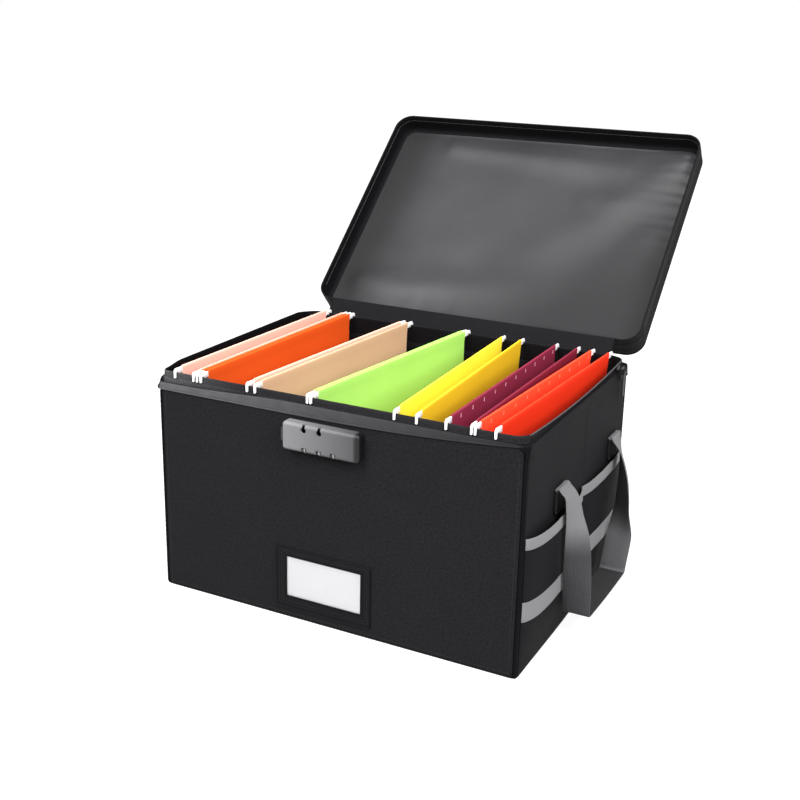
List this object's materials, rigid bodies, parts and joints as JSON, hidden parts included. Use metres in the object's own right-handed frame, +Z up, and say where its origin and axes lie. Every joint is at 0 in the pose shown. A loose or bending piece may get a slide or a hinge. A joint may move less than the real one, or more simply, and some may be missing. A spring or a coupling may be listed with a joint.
{
  "type": "file organizer box",
  "caption": "Fabric-covered file box with a zip lid, front combination lock, label holder, side pockets, webbing handles and hanging folders on rails.",
  "frame": {"origin": "middle of the underside, on the surface that the box stands on", "axes": "+X to the right seen from the front, +Y to the back, +Z up"},
  "size_m": [0.5198, 0.6161, 0.4934],
  "materials": {
    "cover_fabric": "black coated oxford weave, matte",
    "band_fabric": "black woven zip tape",
    "inner_board": "grey stiffening board",
    "liner_fabric": "black inner lining",
    "lining_sheet": "dark grey coated lining, semi-gloss",
    "rim_strip": "black woven covered strip",
    "piping_cord": "black piping",
    "grey_tape": "grey woven tape",
    "webbing": "grey webbing",
    "handle_patch": "black stitched patch",
    "lock_grey": "satin graphite",
    "lock_black": "black moulded",
    "bare_steel": "plain steel",
    "label_pvc": "black grained sheet, stitched",
    "clear_film": "clear film",
    "card_white": "white card",
    "zip_metal": "black enamel",
    "card_pale": "pale salmon card",
    "card_orange": "orange card",
    "card_tan": "tan card",
    "card_green": "light green card",
    "card_yellow": "yellow card",
    "card_maroon": "maroon card",
    "card_red": "red card",
    "rod_white": "white coated steel"
  },
  "bodies": {
    "box": {"back_board": "inner_board", "back_cover": "cover_fabric", "base_board": "inner_board", "bottom_cover": "cover_fabric", "corner_piping": "piping_cord", "dial_axle": "bare_steel", "folder_rails": "rim_strip", "front_board": "inner_board", "front_cover": "cover_fabric", "handle_patches": "handle_patch", "hinge_strip": "cover_fabric", "label_card": "card_white", "label_frame": "label_pvc", "label_window": "clear_film", "left_cover": "cover_fabric", "left_pockets": "cover_fabric", "left_side_boards": "inner_board", "liner": "liner_fabric", "lock_back_plate": "bare_steel", "lock_housing": "lock_grey", "lock_screws": "bare_steel", "pocket_bands": "grey_tape", "release_spring": "bare_steel", "right_cover": "cover_fabric", "right_pockets": "cover_fabric", "right_side_boards": "inner_board", "rim_band": "band_fabric", "side_rims": "rim_strip"},
    "lid": {"lid_board": "inner_board", "lid_lining": "lining_sheet", "lid_piping": "piping_cord", "lid_side_band": "cover_fabric", "lid_top_cover": "cover_fabric", "lid_zipper_tape": "band_fabric"},
    "dial_1": {"dial_1": "lock_black"},
    "dial_2": {"dial_2": "lock_black"},
    "dial_3": {"dial_3": "lock_black"},
    "release": {"release_button": "lock_black", "latch_plate": "bare_steel"},
    "right_handle": {"right_handle": "webbing"},
    "left_handle": {"left_handle": "webbing"},
    "right_slider": {"right_slider": "zip_metal"},
    "left_slider": {"left_slider": "zip_metal"},
    "right_pull": {"right_pull": "zip_metal"},
    "left_pull": {"left_pull": "zip_metal"},
    "folder_pale": {"folder_pale_card": "card_pale", "folder_pale_rods": "rod_white"},
    "folder_orange": {"folder_orange_card": "card_orange", "folder_orange_rods": "rod_white"},
    "folder_tan": {"folder_tan_card": "card_tan", "folder_tan_rods": "rod_white"},
    "folder_green": {"folder_green_card": "card_green", "folder_green_rods": "rod_white"},
    "folder_yellow": {"folder_yellow_card": "card_yellow", "folder_yellow_rods": "rod_white"},
    "folder_maroon": {"folder_maroon_card": "card_maroon", "folder_maroon_rods": "rod_white"},
    "folder_red": {"folder_red_card": "card_red", "folder_red_rods": "rod_white"}
  },
  "joints": [
    {"name": "lid_hinge", "type": "hinge", "parent": "box", "child": "lid", "pos_m": [0, 0.176, 0.259], "axis": [1, 0, 0], "range_deg": [0, 137.4], "deforming": ["hinge_strip"]},
    {"name": "right_handle_swing", "type": "hinge", "parent": "box", "child": "right_handle", "pos_m": [0.2224, 0.0275, 0.176], "axis": [0, -1, 0], "range_deg": [0, 120]},
    {"name": "left_handle_swing", "type": "hinge", "parent": "box", "child": "left_handle", "pos_m": [-0.2224, 0.0275, 0.176], "axis": [0, 1, 0], "range_deg": [0, 120]},
    {"name": "dial_1_turn", "type": "hinge", "parent": "box", "child": "dial_1", "pos_m": [-0.024, -0.1654, 0.2056], "axis": [1, 0, 0], "continuous": true},
    {"name": "dial_2_turn", "type": "hinge", "parent": "box", "child": "dial_2", "pos_m": [-0.0065, -0.1654, 0.2056], "axis": [1, 0, 0], "continuous": true},
    {"name": "dial_3_turn", "type": "hinge", "parent": "box", "child": "dial_3", "pos_m": [0.0105, -0.1654, 0.2056], "axis": [1, 0, 0], "continuous": true},
    {"name": "release_press", "type": "slide", "parent": "box", "child": "release", "axis": [1, 0, 0], "range_m": [0, 0.003], "stiffness_N_per_m": 200, "springref_m": -0.003, "deforming": ["release_spring"]},
    {"name": "folder_pale_slide", "type": "slide", "parent": "box", "child": "folder_pale", "axis": [1, 0, 0], "range_m": [-0.002, 0.0007]},
    {"name": "folder_orange_slide", "type": "slide", "parent": "box", "child": "folder_orange", "axis": [1, 0, 0], "range_m": [-0.0007, 0.027]},
    {"name": "folder_tan_slide", "type": "slide", "parent": "box", "child": "folder_tan", "axis": [1, 0, 0], "range_m": [-0.027, 0.03]},
    {"name": "folder_green_slide", "type": "slide", "parent": "box", "child": "folder_green", "axis": [1, 0, 0], "range_m": [-0.03, 0.022]},
    {"name": "folder_yellow_slide", "type": "slide", "parent": "box", "child": "folder_yellow", "axis": [1, 0, 0], "range_m": [-0.022, 0.014]},
    {"name": "folder_maroon_slide", "type": "slide", "parent": "box", "child": "folder_maroon", "axis": [1, 0, 0], "range_m": [-0.014, 0.0006]},
    {"name": "folder_red_slide", "type": "slide", "parent": "box", "child": "folder_red", "axis": [1, 0, 0], "range_m": [-0.0006, 0.002]},
    {"name": "right_zip_run", "type": "slide", "parent": "box", "child": "right_slider", "axis": [0, -1, 0], "range_m": [0, 0.24]},
    {"name": "right_pull_swing", "type": "hinge", "parent": "right_slider", "child": "right_pull", "pos_m": [0.2252, 0.122, 0.2515], "axis": [0, -1, 0], "range_deg": [0, 150]},
    {"name": "left_zip_run", "type": "slide", "parent": "box", "child": "left_slider", "axis": [0, -1, 0], "range_m": [0, 0.24]},
    {"name": "left_pull_swing", "type": "hinge", "parent": "left_slider", "child": "left_pull", "pos_m": [-0.2252, 0.122, 0.2515], "axis": [0, 1, 0], "range_deg": [0, 150]}
  ]
}
